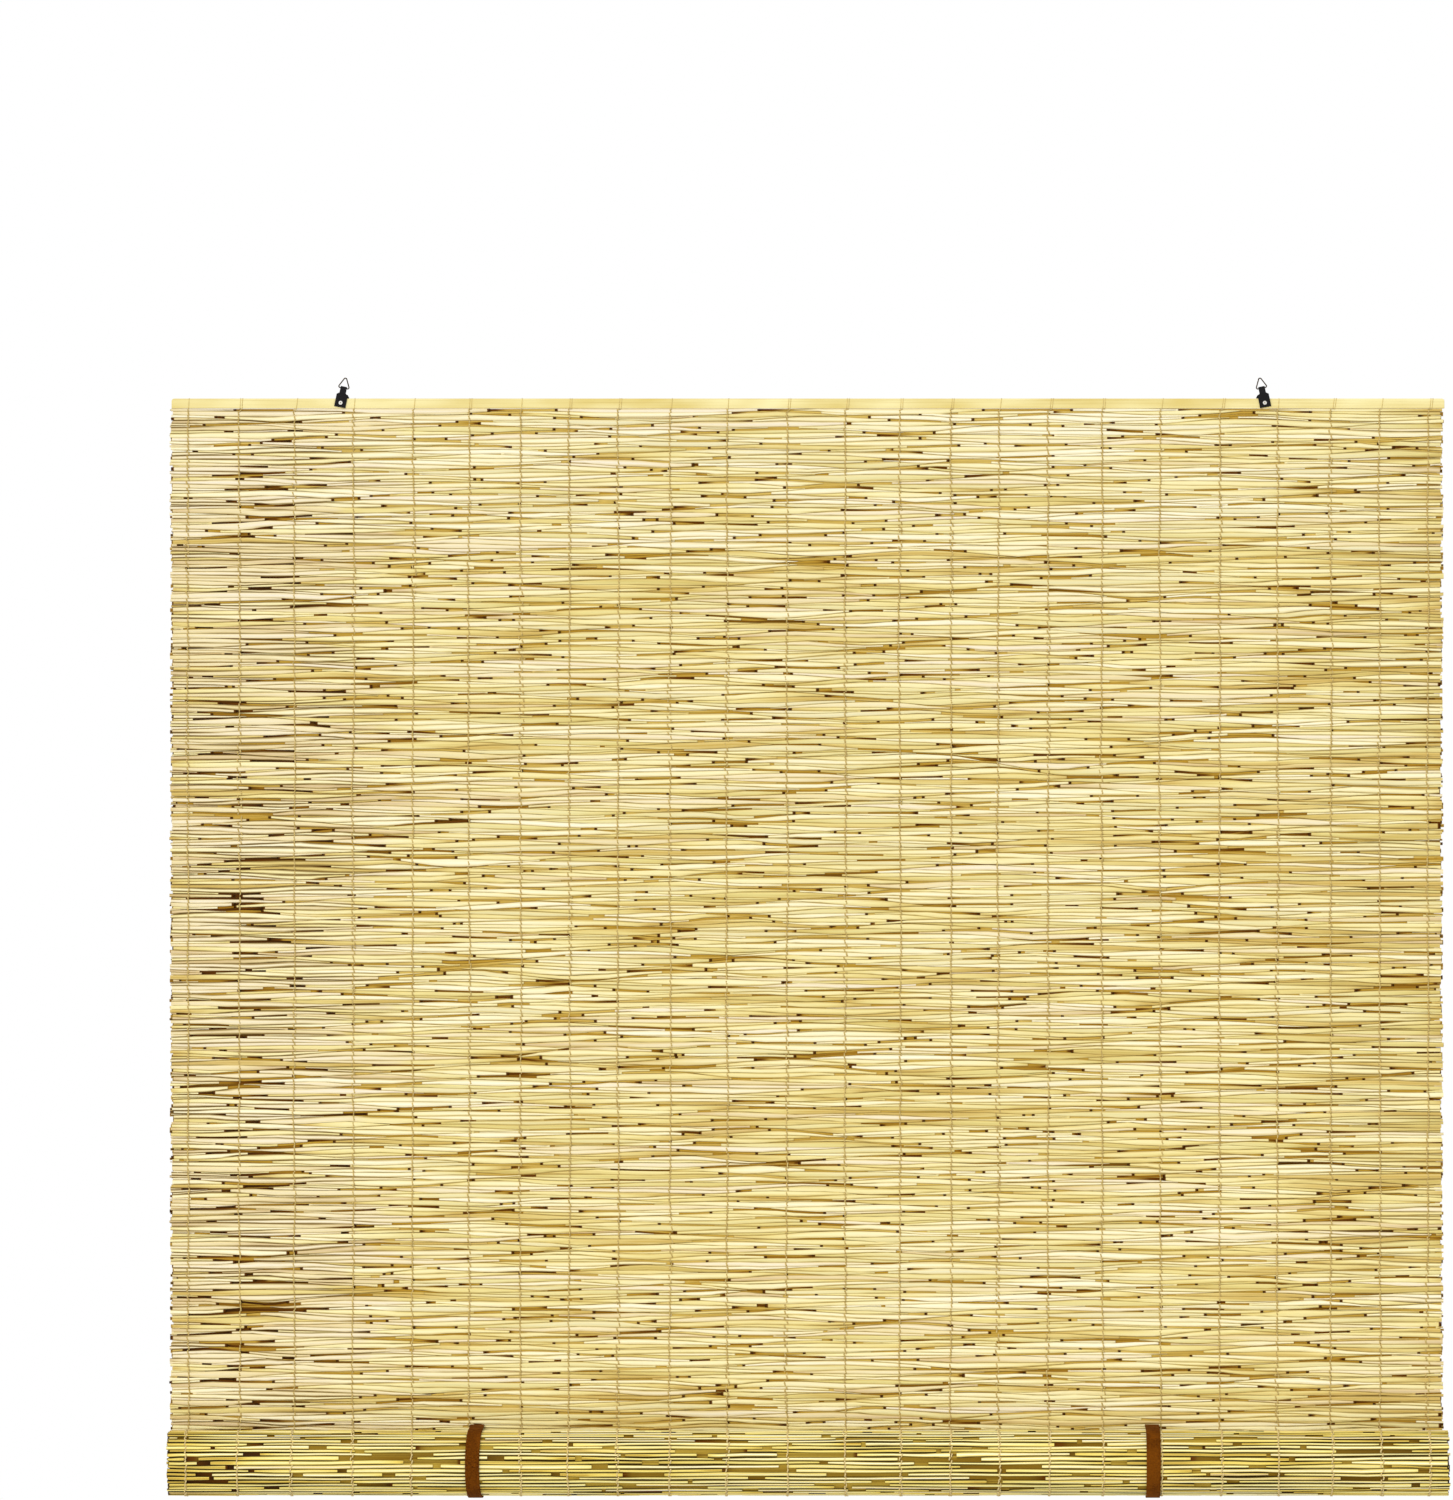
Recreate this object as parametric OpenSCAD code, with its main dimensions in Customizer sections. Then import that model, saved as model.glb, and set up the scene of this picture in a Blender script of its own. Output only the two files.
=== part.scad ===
// Reed roll-up blind: a reed mat tied by rows of binding thread, hung from a bamboo head slat
// by two leather tags with triangular rings. The lower end of the mat is rolled up to the front
// and held by two leather straps that pass through the mat and close with a press stud behind it.
// Millimetres. +X runs along the blind, -Y is the front, +Z is up. The origin lies on the blind's
// centre line, level with the inside tops of the two hanging rings.

/* [Blind] */
// Width of the head slat and of the mat
blind_w = 1400; // [1000:10:1800]
// Drop from the top of the head slat to the underside of the roll
drop = 1205; // [700:5:1800]

/* [Head slat] */
// Height of the head slat
slat_h = 11; // [10:0.5:20]
// Thickness of the head slat
slat_t = 5; // [4:0.5:5.5]
// Corner radius at the ends of the head slat
slat_corner = 3; // [1:0.5:5]

/* [Reeds] */
// Spacing of the reed rows
reed_pitch = 4.4; // [4.2:0.05:4.5]
// Mean diameter of a reed
reed_d = 5; // [4.9:0.05:5.2]
// How far a reed's diameter strays from the mean
reed_stray = 0.4; // [0.1:0.05:0.4]
// How far a reed stands before or behind the middle of the mat
reed_shift = 0.25; // [0:0.05:0.4]
// How far a reed's end strays from the edge of the mat
ragged = 4; // [0:0.5:8]
// Number of open slits between reeds
slit_count = 60; // [0:1:120]
// Height of an open slit
slit_h = 0.9; // [0.7:0.1:1.2]

/* [Roll] */
// Radius of the outermost turn, at the middle of the mat
roll_r = 36; // [30:1:45]
// Number of turns in the roll
turns = 3; // [2:0.25:3.5]
// Free space between two turns
turn_gap = 0.6; // [0.4:0.1:1]

/* [Binding thread] */
// Number of thread lines across the mat
thread_count = 24; // [24:1:30]
// Distance of the first and last thread from the mat's edge
thread_edge = 18; // [14:1:24]
// How far the thread lines wander from an even spacing
thread_drift = 8; // [0:1:9]
// Width of a thread line
thread_w = 1.2; // [0.8:0.1:1.6]
// Thickness of a thread
thread_t = 0.9; // [0.6:0.1:1.2]

/* [Hanger tags] */
// Width of a tag's leaf
tag_w = 12.5; // [10:0.5:14]
// Width of the neck that is folded through the ring
neck_w = 7; // [5:0.5:7]
// Thickness of the tag leather
tag_t = 1.2; // [0.8:0.1:1.4]
// Length of a leaf below the rivet
tag_below = 4.9; // [4:0.1:5.5]
// Height of a leaf's shoulder above the rivet
tag_shoulder = 9; // [8.5:0.1:10]
// Height of the ring's wire above the rivet
ring_rise = 16.4; // [16:0.1:19]
// Lean of the tags from upright
tag_lean = 11.5; // [0:0.5:15]
// Turn of the back leaf against the front leaf
leaf_twist = 13; // [0:1:16]

/* [Rings and rivets] */
// Outside width of a triangular ring
ring_w = 12.5; // [12.5:0.5:15]
// Outside height of a triangular ring
ring_h = 12.5; // [11:0.5:15]
// Diameter of the ring wire
wire_d = 1.3; // [1:0.1:1.5]
// Depth of the rivet below the slat's top edge
rivet_down = 4.7; // [4.5:0.1:5]
// Diameter of the rivet's shank
rivet_d = 2.4; // [2:0.1:3]
// Diameter of the rivet's hollow
rivet_hollow = 1.4; // [0.8:0.1:1.6]
// Diameter of the rivet's flange
rivet_flange = 4.2; // [3.8:0.1:5]

/* [Straps] */
// Width of a roll strap
strap_w = 15.5; // [12:0.5:20]
// Thickness of a roll strap
strap_t = 1.8; // [1.2:0.1:2.2]
// Height of the strap's slot above the top of the roll
strap_rise = 6; // [6:0.5:12]
// Diameter of the press stud's cap
stud_cap_d = 11; // [9.6:0.2:12]

/* [Hidden] */
$fn = 48;

// Clearances
seat_gap = 0.05;      // thread on reeds, leaf on slat, rivet in its holes
turn_clear = 0.1;     // ring wire in its fold, leaf under the rivet's flange
strap_clear = 0.15;   // strap on the reeds of the roll
slot_clear = 0.45;    // strap in its slot
seam_gap = 0.1;       // last hanging reed to the first reed of the roll
slat_gap = 0.1;       // first reed below the head slat

// Reed mat
even_rows = 3;        // neighbouring reeds of the hanging part whose ends are even
reed_flat = 0.35;     // half the width of a reed's flats, as a share of its radius
reed_r_max = (reed_d + reed_stray) / 2;
mat_half = reed_r_max + reed_shift;
turn_pitch = 2 * reed_r_max + turn_gap;

// Hangers: the ring's inside top is at height 0
leaf_in = slat_t / 2 + seat_gap;
leaf_out = leaf_in + tag_t;
fold_in = wire_d / 2 + turn_clear;
fold_out = fold_in + tag_t;
ring_inside = ring_h - 1.5 * wire_d;
rivet_z = -(ring_rise + ring_inside) * cos(tag_lean);
slat_top = rivet_z + rivet_down;
slat_bottom = slat_top - slat_h;
shoulder_h = 2;       // height of the sloping shoulder between leaf and neck
leg_h = ring_rise - tag_shoulder - shoulder_h;

// Roll: a spiral that starts behind the roll's axis and runs down, to the front and up
roll_y = -roll_r;
roll_z = slat_top - drop + roll_r - turn_pitch / 4 + reed_r_max;
roll_top = roll_z + roll_r - turn_pitch * 3 / 4 + reed_r_max;
function spiral_r(a) = roll_r - turn_pitch * a / 360;
function spiral_length(a) = (roll_r * a - turn_pitch * a * a / 720) * PI / 180;
function spiral_angle(s) = 360 / turn_pitch * (roll_r - sqrt(roll_r * roll_r - turn_pitch * s / PI));
function on_roll(a, lift) = [roll_y + (spiral_r(a) + lift) * cos(a), roll_z - (spiral_r(a) + lift) * sin(a)];

// Reed rows
first_row_z = slat_bottom - slat_gap - reed_r_max;
row_count = floor((first_row_z - roll_z) / reed_pitch) + 1;
function row_z(i) = first_row_z - i * reed_pitch;
last_row_z = row_z(row_count - 1);
roll_start = 2 * reed_r_max + seam_gap - (last_row_z - roll_z);
roll_rows = floor((spiral_length(360 * turns) - roll_start) / reed_pitch);

// A repeatable number from 0 to 1 for the given row and purpose
function chance(i, k) = let (s = 437.585 * sin(i * 127.1 + k * 311.7)) s - floor(s);
function reed_size(i) = reed_d + reed_stray * (2 * chance(i, 1) - 1);
function reed_depth(i) = reed_shift * (2 * chance(i, 2) - 1);

// Thread lines wander in three slow waves across the mat, as a hand-set loom spaces them
thread_waves = 3;
thread_phase = 145;
function thread_x(i) = let (u = (i - 1) / (thread_count - 1))
    (u - 0.5) * (blind_w - 2 * thread_edge)
    + thread_drift * (sin(360 * thread_waves * u - thread_phase) + sin(thread_phase));
thread_y = mat_half + seat_gap + thread_t / 2;
thread_top = slat_top + seat_gap + thread_t / 2;
thread_bend = 1;      // radius of the thread's bend over the slat
thread_last = 330;    // angle round the roll at which the thread runs in under the mat
arc_step = 12;        // angle between the points of a thread or strap round the roll
arc_sag = (roll_r + reed_r_max) * (1 - cos(arc_step / 2));
thread_lift = reed_r_max + seat_gap + arc_sag + thread_t / 2;

// Hangers stand beside a thread line, and straps pass through the mat close to one
hanger_aside = 14;
left_hanger_x = thread_x(4) - hanger_aside;
right_hanger_x = thread_x(thread_count - 3) - hanger_aside;
thread_room = 0.4;    // between a strap's slot and the thread line beside it
strap_aside = thread_w / 2 + thread_room + slot_clear + strap_w / 2;
left_strap_x = thread_x(6) + strap_aside;
right_strap_x = thread_x(thread_count - 5) - strap_aside;

// Straps
slot_row = floor((first_row_z - roll_top - strap_rise) / reed_pitch);
slot_z = row_z(slot_row) - reed_pitch / 2;
slot_h = strap_t + 2 * slot_clear;
back_gap = 0.7;       // room behind the mat for the flange of the stud
lap_gap = 1.2;        // room between the strap's lapped ends for the stud
strap_bend = 2;       // radius of the strap's bend into its slot
lap_rise = 16;        // lower end of the lap above the roll's axis
lap_z = roll_z + lap_rise;
strap_lift = reed_r_max + strap_clear + arc_sag + strap_t / 2;
inner_y = mat_half + back_gap + strap_t / 2;
outer_y = inner_y + strap_t + lap_gap;
lap_top = slot_z - strap_bend - strap_t;
stud_z = (lap_z + lap_top) / 2;
stud_shank_d = 3.2;
stud_head_d = 4;
stud_flange_d = 8.4;
stud_flange_t = 0.5;
stud_cap_t = 1.2;

function thread_name(i) = str("binding_thread_", i < 10 ? "0" : "", i);

// Extrudes a shape drawn in Y and Z along X, centred on x
module along_x(x, length) {
    translate([x - length / 2, 0, 0])
        rotate([90, 0, 90])
            linear_extrude(length)
                children();
}

// A closed outline of even thickness along a line of points
function unit(v) = v / norm(v);
function turned(v) = [-v[1], v[0]];
function across(p, i) = turned(unit(p[min(i + 1, len(p) - 1)] - p[max(i - 1, 0)]));
function ribbon(p, t) = concat(
    [for (i = [0:len(p) - 1]) p[i] + across(p, i) * t / 2],
    [for (i = [len(p) - 1:-1:0]) p[i] - across(p, i) * t / 2]);
function arc(centre, r, from, to, steps) =
    [for (i = [0:steps]) let (a = from + (to - from) * i / steps) centre + r * [cos(a), sin(a)]];

// Bamboo head slat, with its end corners rounded and a hole for each rivet
module head_slat() {
    color("khaki")
        difference() {
            translate([0, slat_t / 2, slat_top])
                rotate([90, 0, 0])
                    linear_extrude(slat_t)
                        slat_outline();
            for (x = [left_hanger_x, right_hanger_x])
                rivet_hole(x);
        }
}

module slat_outline() {
    for (side = [-1, 1])
        translate([side * (blind_w / 2 - slat_corner), -slat_corner])
            circle(slat_corner);
    translate([-blind_w / 2 + slat_corner, -slat_corner])
        square([blind_w - 2 * slat_corner, slat_corner]);
    translate([-blind_w / 2, -slat_h])
        square([blind_w, slat_h - slat_corner]);
}

module rivet_hole(x) {
    translate([x, 0, rivet_z])
        rotate([90, 0, 0])
            cylinder(d = rivet_d + 2 * seat_gap, h = 4 * leaf_out, center = true);
}

// One reed along X, with ends that stray from the edge of the mat
module reed(ends, d) {
    left = -blind_w / 2 + ragged * (2 * chance(ends, 3) - 1);
    right = blind_w / 2 + ragged * (2 * chance(ends, 4) - 1);
    along_x((left + right) / 2, right - left)
        reed_section(d / 2);
}

// Section of a reed: a ridge to the front and to the back, flat where it meets its neighbours
module reed_section(r) {
    flat = reed_flat * r;
    polygon([[r, 0], [flat, r], [-flat, r], [-r, 0], [-flat, -r], [flat, -r]]);
}

// Hanging part of the mat: one wall of reeds, with open slits and a slot for each strap
module hanging_mat() {
    color("palegoldenrod")
        difference() {
            for (i = [0:row_count - 1])
                translate([0, reed_depth(i), row_z(i)])
                    reed(floor(i / even_rows), reed_size(i));
            if (slit_count > 0)
                for (g = [1:slit_count])
                    slit(g);
            for (x = [left_strap_x, right_strap_x])
                translate([x, 0, slot_z])
                    cube([strap_w + 2 * slot_clear, 3 * mat_half, slot_h], center = true);
        }
}

// An open slit between two reeds and two thread lines
module slit(g) {
    bay = 1 + floor(chance(g, 5) * (thread_count - 1));
    row = 2 + floor(chance(g, 6) * (slot_row - 6));
    room = thread_x(bay + 1) - thread_x(bay) - 2 * thread_w;
    length = room * (0.5 + 0.4 * chance(g, 7));
    start = thread_x(bay) + thread_w + (room - length) * chance(g, 8);
    translate([start, -1.5 * mat_half, row_z(row) - (reed_pitch + slit_h) / 2])
        cube([length, 3 * mat_half, slit_h]);
}

// Rolled part of the mat: all its turns in one piece
module mat_roll() {
    color("goldenrod")
        for (i = [0:roll_rows - 1]) {
            angle = spiral_angle(roll_start + i * reed_pitch);
            place = on_roll(angle, 0);
            translate([0, place[0], place[1]])
                rotate([-angle, 0, 0])
                    reed(row_count + i, reed_size(row_count + i));
        }
}

// One binding thread: up the front, over the slat, down the back and round the roll
module binding_thread(i) {
    bend = thread_bend;
    front_end = on_roll(thread_last, reed_r_max)[1] + thread_t;
    path = concat(
        [[-thread_y, front_end]],
        arc([bend - thread_y, thread_top - bend], bend, 180, 90, 2),
        arc([thread_y - bend, thread_top - bend], bend, 90, 0, 2),
        [for (a = [0:arc_step:thread_last]) on_roll(a, thread_lift)]);
    color("tan")
        along_x(thread_x(i), thread_w)
            polygon(ribbon(path, thread_t));
}

// Places a hanger's piece at its rivet, leaning towards the middle of the blind
module at_hanger(x, side) {
    translate([x, 0, rivet_z])
        rotate([0, -side * tag_lean, 0])
            children();
}

// Leather tag: two leaves that straddle the slat, joined by a neck folded through the ring
module hanger_tag(x, side) {
    color("black")
        difference() {
            at_hanger(x, side) {
                translate([0, -leaf_in, 0])
                    tag_leaf();
                rotate([0, -side * leaf_twist, 0])
                    translate([0, leaf_out, 0])
                        tag_leaf();
                translate([0, 0, ring_rise])
                    along_x(0, neck_w)
                        tag_fold();
            }
            rivet_hole(x);
        }
}

module tag_leaf() {
    rotate([90, 0, 0])
        linear_extrude(tag_t)
            polygon([
                [-tag_w / 2, -tag_below], [tag_w / 2, -tag_below],
                [tag_w / 2, tag_shoulder], [neck_w / 2, tag_shoulder + shoulder_h],
                [-neck_w / 2, tag_shoulder + shoulder_h], [-tag_w / 2, tag_shoulder]]);
}

// Section of the fold: a loop round the ring wire on two legs that spread to the leaves
module tag_fold() {
    difference() {
        union() {
            circle(fold_out);
            polygon([[-fold_out, 0], [fold_out, 0], [leaf_out, -leg_h], [leaf_out, -leg_h - shoulder_h],
                [-leaf_out, -leg_h - shoulder_h], [-leaf_out, -leg_h]]);
        }
        circle(fold_in);
        polygon([[-fold_in, 0], [fold_in, 0], [leaf_in, -leg_h], [leaf_in, -leg_h - 2 * shoulder_h],
            [-leaf_in, -leg_h - 2 * shoulder_h], [-leaf_in, -leg_h]]);
    }
}

// Triangular wire ring, standing on the wire that lies in the tag's fold
ring_bend = 1.6;      // bend radius at the wire's middle
ring_half = ring_w / 2 - wire_d / 2 - ring_bend;
ring_tall = ring_h - wire_d - 2 * ring_bend;
ring_slope = atan2(ring_tall, ring_half);
ring_side = norm([ring_half, ring_tall]);

module hanger_ring(x, side) {
    color("dimgray")
        at_hanger(x, side)
            translate([0, 0, ring_rise + ring_bend])
                rotate([90, 0, 0])
                    ring_wire();
}

module ring_wire() {
    translate([-ring_half, -ring_bend, 0])
        rotate([0, 90, 0])
            cylinder(d = wire_d, h = 2 * ring_half);
    for (turn = [0, 1])
        mirror([turn, 0, 0])
            translate([ring_half, 0, 0]) {
                wire_bend(-90, 180 - ring_slope);
                rotate([0, 0, 90 - ring_slope])
                    translate([ring_bend, 0, 0])
                        rotate([-90, 0, 0])
                            cylinder(d = wire_d, h = ring_side);
            }
    translate([0, ring_tall, 0])
        wire_bend(90 - ring_slope, 2 * ring_slope);
}

// A bent length of ring wire from the given angle, swollen a little and lapping the straight wire
module wire_bend(from, angle) {
    lap = 4;
    swell = 0.04;
    rotate([0, 0, from - lap])
        rotate_extrude(angle = angle + 2 * lap)
            translate([ring_bend, 0])
                circle(d = wire_d + swell);
}

// Hollow rivet through both leaves and the slat, with a flange at each end
module hanger_rivet(x) {
    grip = 2 * (leaf_out + turn_clear);
    flange_t = 0.5;
    color("silver")
        translate([x, 0, rivet_z])
            rotate([90, 0, 0])
                difference() {
                    union() {
                        cylinder(d = rivet_d, h = grip, center = true);
                        for (end = [-1, 1])
                            translate([0, 0, end * (grip + flange_t) / 2])
                                cylinder(d = rivet_flange, h = flange_t, center = true);
                    }
                    cylinder(d = rivet_hollow, h = 2 * grip, center = true);
                }
}

// Leather strap: through the slot, round the front of the roll and up behind, with lapped ends
module roll_strap(x) {
    over_top = 22 * arc_step;
    path = concat(
        [[inner_y, lap_z]],
        arc([inner_y - strap_bend, slot_z - strap_bend], strap_bend, 0, 90, 4),
        [[-mat_half - strap_bend, slot_z]],
        [for (a = [over_top:-arc_step:0]) on_roll(a, strap_lift)],
        [[(on_roll(0, strap_lift)[0] + outer_y) / 2, (roll_z + lap_z) / 2 - strap_t]],
        [[outer_y, lap_z - strap_t], [outer_y, lap_top]]);
    color("saddlebrown")
        difference() {
            along_x(x, strap_w)
                polygon(ribbon(path, strap_t));
            translate([x, 0, stud_z])
                rotate([-90, 0, 0])
                    cylinder(d = stud_shank_d + 2 * seat_gap, h = 2 * outer_y);
        }
}

// Outer half of the press stud: cap behind the strap's outer end and socket inside it
module stud_cap(x) {
    face = outer_y + strap_t / 2 + seat_gap;
    inside = outer_y - strap_t / 2 - seat_gap;
    socket_h = lap_gap - 2 * seat_gap;
    color("silver")
        translate([x, 0, stud_z])
            rotate([-90, 0, 0])
                rotate_extrude()
                    difference() {
                        union() {
                            translate([0, face])
                                square([stud_cap_d / 2, stud_cap_t / 2]);
                            translate([0, face])
                                square([stud_cap_d / 2 - stud_cap_t / 2, stud_cap_t]);
                            translate([0, inside - socket_h])
                                square([stud_shank_d / 2, face - inside + socket_h]);
                            translate([0, inside - socket_h])
                                square([stud_flange_d / 2, socket_h]);
                        }
                        translate([0, inside - socket_h - seat_gap])
                            square([stud_head_d / 2 + seat_gap, socket_h]);
                    }
}

// Inner half of the press stud: flange against the mat, post through the strap and round head
module stud_post(x) {
    face = inner_y + strap_t / 2 + seat_gap;
    inside = inner_y - strap_t / 2 - seat_gap;
    head_h = lap_gap - 6 * seat_gap;
    color("silver")
        translate([x, 0, stud_z])
            rotate([-90, 0, 0])
                rotate_extrude()
                    union() {
                        translate([0, inside - stud_flange_t])
                            square([stud_flange_d / 2, stud_flange_t]);
                        translate([0, inside])
                            square([stud_shank_d / 2, face - inside]);
                        translate([0, face])
                            square([stud_head_d / 2, head_h]);
                    }
}

head_slat();
hanging_mat();
mat_roll();
for (i = [1:thread_count])
    binding_thread(i);
hanger_tag(left_hanger_x, -1);  // left_hanger_tag
hanger_ring(left_hanger_x, -1);  // left_hanger_ring
hanger_rivet(left_hanger_x);  // left_hanger_rivet
hanger_tag(right_hanger_x, 1);  // right_hanger_tag
hanger_ring(right_hanger_x, 1);  // right_hanger_ring
hanger_rivet(right_hanger_x);  // right_hanger_rivet
roll_strap(left_strap_x);  // left_roll_strap
stud_cap(left_strap_x);  // left_stud_cap
stud_post(left_strap_x);  // left_stud_post
roll_strap(right_strap_x);  // right_roll_strap
stud_cap(right_strap_x);  // right_stud_cap
stud_post(right_strap_x);  // right_stud_post
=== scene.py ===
import math
import random

import bmesh
import bpy
import numpy as np
from mathutils import Matrix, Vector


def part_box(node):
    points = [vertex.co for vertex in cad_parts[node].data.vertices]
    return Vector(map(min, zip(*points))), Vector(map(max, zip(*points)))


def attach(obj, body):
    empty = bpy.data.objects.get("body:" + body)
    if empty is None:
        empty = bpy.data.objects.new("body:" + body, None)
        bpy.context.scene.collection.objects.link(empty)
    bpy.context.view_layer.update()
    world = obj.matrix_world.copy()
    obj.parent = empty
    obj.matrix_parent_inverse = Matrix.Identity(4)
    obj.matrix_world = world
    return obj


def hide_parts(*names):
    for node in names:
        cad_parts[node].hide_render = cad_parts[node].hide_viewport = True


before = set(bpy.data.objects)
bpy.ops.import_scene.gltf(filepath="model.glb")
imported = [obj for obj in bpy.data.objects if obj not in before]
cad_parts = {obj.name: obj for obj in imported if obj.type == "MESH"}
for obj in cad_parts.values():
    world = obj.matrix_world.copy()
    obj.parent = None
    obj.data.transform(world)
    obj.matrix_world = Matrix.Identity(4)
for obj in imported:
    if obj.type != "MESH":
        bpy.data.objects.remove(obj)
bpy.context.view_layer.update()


# Camera: square to the mat and level, as the picture was taken.
# One pixel of the picture is 1.1 mm on the mat, which fixes the picture's width and the lens.
pixel = 0.0011
picture_pixels_across = 1453
blind_middle_pixel = 808
picture_width = picture_pixels_across * pixel
picture_middle_x = (picture_pixels_across / 2 - blind_middle_pixel) * pixel
picture_middle_z = -0.4083
camera_distance = 16.0


def put_in_scene(name, data):
    """A new object, linked to the scene."""
    thing = bpy.data.objects.new(name, data)
    bpy.context.scene.collection.objects.link(thing)
    return thing


camera = put_in_scene("camera", bpy.data.cameras.new("camera"))
bpy.context.scene.camera = camera
camera.data.sensor_fit = "HORIZONTAL"
camera.data.sensor_width = 36
camera.data.lens = camera.data.sensor_width * camera_distance / picture_width
camera.location = (picture_middle_x, -camera_distance, picture_middle_z)
camera.rotation_euler = (math.pi / 2, 0, 0)


# Reeds of the mat: dried river reeds laid in staggered layers, a few lengths to each row.
# A reed thins towards its ends, and past an end its row closes up, which leaves a wedge there, darkened
# by a strip with painted shade.
# The lower end of the mat is rolled up to the front, so the mat is laid out flat and then bent.
half_width = 0.7
row_pitch = 0.0031
reed_radius_max = 0.0027
roll_radius = 0.036
turn_pitch = 0.006
turns = 3
slat_gap = 0.0001
slat_low, slat_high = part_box("head_slat")
roll_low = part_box("mat_roll")[0]
mat_top = slat_low.z - slat_gap
roll_y = -roll_radius
roll_z = roll_low.z + roll_radius - turn_pitch / 4 + reed_radius_max
hanging_length = mat_top - roll_z
rolled_length = 2 * math.pi * turns * (roll_radius - turn_pitch * turns / 2)
hanging_rows = int(hanging_length / row_pitch)
row_total = int((hanging_length + rolled_length) / row_pitch)
outer_turn_rows = int(2 * math.pi * roll_radius / row_pitch)


def spiral_angle(length):
    """How far round the roll a length of mat reaches, in radians."""
    least = 1e-8
    inside = np.maximum(roll_radius**2 - turn_pitch * length / math.pi, least)
    return 2 * math.pi / turn_pitch * (roll_radius - np.sqrt(inside))


def lay(x, along, out):
    """Points of the flat mat, down its length and out to its back, as they hang or lie in the roll."""
    angle = spiral_angle(np.maximum(along - hanging_length, 0))
    radius = roll_radius - turn_pitch * angle / (2 * math.pi) + out
    rolled = along > hanging_length
    y = np.where(rolled, roll_y + radius * np.cos(angle), out)
    z = np.where(rolled, roll_z - radius * np.sin(angle), mat_top - along)
    return np.stack([x + 0 * y, y, z], axis=-1)


ragged = 0.002
edge_memory = 0.9
edge_drift = 0.15 * ragged
mat_overhang = (0, -0.003)
roll_overhang = (0.0015, 0.001)
rolled_row_share = 0.74
reed_lengths = (0.06, 0.24)
cut_reed_lengths = (0.006, 0.09)
cut_reed_share = 0.55
shortest_reed = 0.006
short_gaps = (0.004, 0.02)
long_gaps = (0.03, 0.1)
short_gap_share = 0.3
rolled_short_gap_share = 0.8
blunt_end_share = 0.6
blunt_start_share = 0.35
end_spacing = 0.015
placing_tries = 8
girth_spread = 0.26
rolled_girth_spread = 0.45
girth_fade = 0.03
taper_lengths = (0.04, 0.11)
wedge_lengths = (0.02, 0.04, 0.07, 0.1)
wedge_stretch = (0.7, 1.2)
blunt_end_height = 0.36
thin_end_height = 0.06
rolled_taper = 0.004
rolled_end_height = 0.85
least_room = 0.3
grid_step = 0.005
grid_x = np.arange(-half_width - 2 * ragged, half_width + 2 * ragged + grid_step, grid_step)
last_grid_step = len(grid_x) - 1.001


def smooth_rows(values, mirror):
    """Values averaged over the neighbouring rows."""
    spread = 3
    reach = 3 * spread
    padded = np.pad(values, ((reach, reach), (0, 0)), mode="reflect", reflect_type=mirror)
    weights = np.exp(-0.5 * (np.arange(-reach, reach + 1) / spread) ** 2)
    shifted = (w * padded[i:i + len(values)] for i, w in enumerate(weights / weights.sum()))
    return sum(shifted)


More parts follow.
